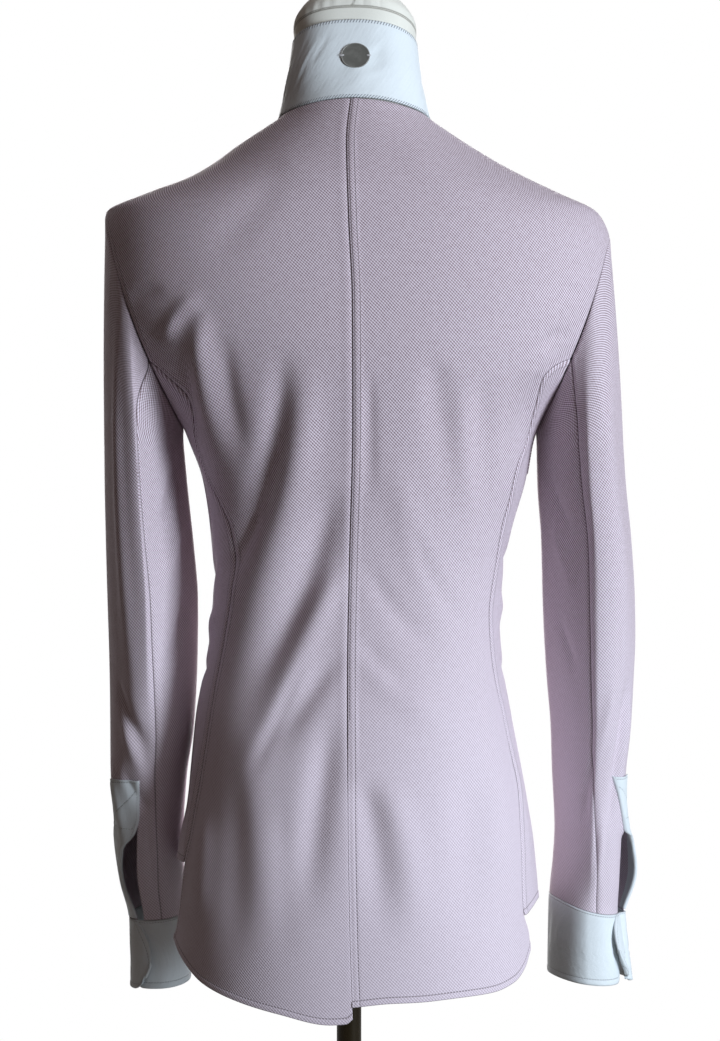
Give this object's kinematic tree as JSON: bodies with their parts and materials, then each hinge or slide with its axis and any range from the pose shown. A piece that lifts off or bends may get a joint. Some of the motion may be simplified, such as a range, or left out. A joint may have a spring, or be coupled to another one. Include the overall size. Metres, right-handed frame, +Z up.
{
  "type": "equestrian show shirt on a limbless dress form",
  "caption": "Fitted long-sleeved riding show shirt with a wrapped stand collar, white barrel cuffs and a curved vented hem, worn by a limbless dress form on a pole.",
  "frame": {"origin": "centre of the stand's base on the floor, under the pole", "axes": "+Z up; the front of the shirt faces -Y; the wearer's left is +X"},
  "size_m": [0.4198, 0.38, 1.4864],
  "materials": {
    "back_left": "fine lilac and grey pique",
    "back_right": "fine lilac and grey pique",
    "side_left": "fine lilac and grey pique",
    "side_right": "fine lilac and grey pique",
    "front_left": "fine lilac and grey pique",
    "front_right": "fine lilac and grey pique",
    "sleeve_upper_left": "fine lilac and grey pique",
    "sleeve_upper_right": "fine lilac and grey pique",
    "sleeve_under_left": "fine lilac and grey pique",
    "sleeve_under_right": "fine lilac and grey pique",
    "front_placket": "fine lilac and grey pique",
    "front_button_1": "pearl",
    "front_button_2": "pearl",
    "front_button_3": "pearl",
    "front_button_4": "pearl",
    "front_button_5": "pearl",
    "front_button_6": "pearl",
    "front_button_7": "pearl",
    "collar": "white cotton",
    "badge": "satin",
    "cuff_left": "white cotton",
    "cuff_right": "white cotton",
    "cuff_placket_left": "white cotton",
    "cuff_placket_right": "white cotton",
    "cuff_button_left": "pearl",
    "cuff_button_right": "pearl",
    "form_torso": "cream cloth, smooth",
    "form_cap": "cream cloth, smooth",
    "form_pole": "dark bronze",
    "form_base": "dark bronze"
  },
  "bodies": {
    "root": {"back_left": "back_left", "back_right": "back_right", "side_left": "side_left", "side_right": "side_right", "front_left": "front_left", "front_right": "front_right", "sleeve_upper_left": "sleeve_upper_left", "sleeve_upper_right": "sleeve_upper_right", "sleeve_under_left": "sleeve_under_left", "sleeve_under_right": "sleeve_under_right", "front_placket": "front_placket", "front_button_1": "front_button_1", "front_button_2": "front_button_2", "front_button_3": "front_button_3", "front_button_4": "front_button_4", "front_button_5": "front_button_5", "front_button_6": "front_button_6", "front_button_7": "front_button_7", "collar": "collar", "badge": "badge", "cuff_left": "cuff_left", "cuff_right": "cuff_right", "cuff_placket_left": "cuff_placket_left", "cuff_placket_right": "cuff_placket_right", "cuff_button_left": "cuff_button_left", "cuff_button_right": "cuff_button_right", "form_torso": "form_torso", "form_cap": "form_cap", "form_pole": "form_pole", "form_base": "form_base"}
  },
  "joints": []
}
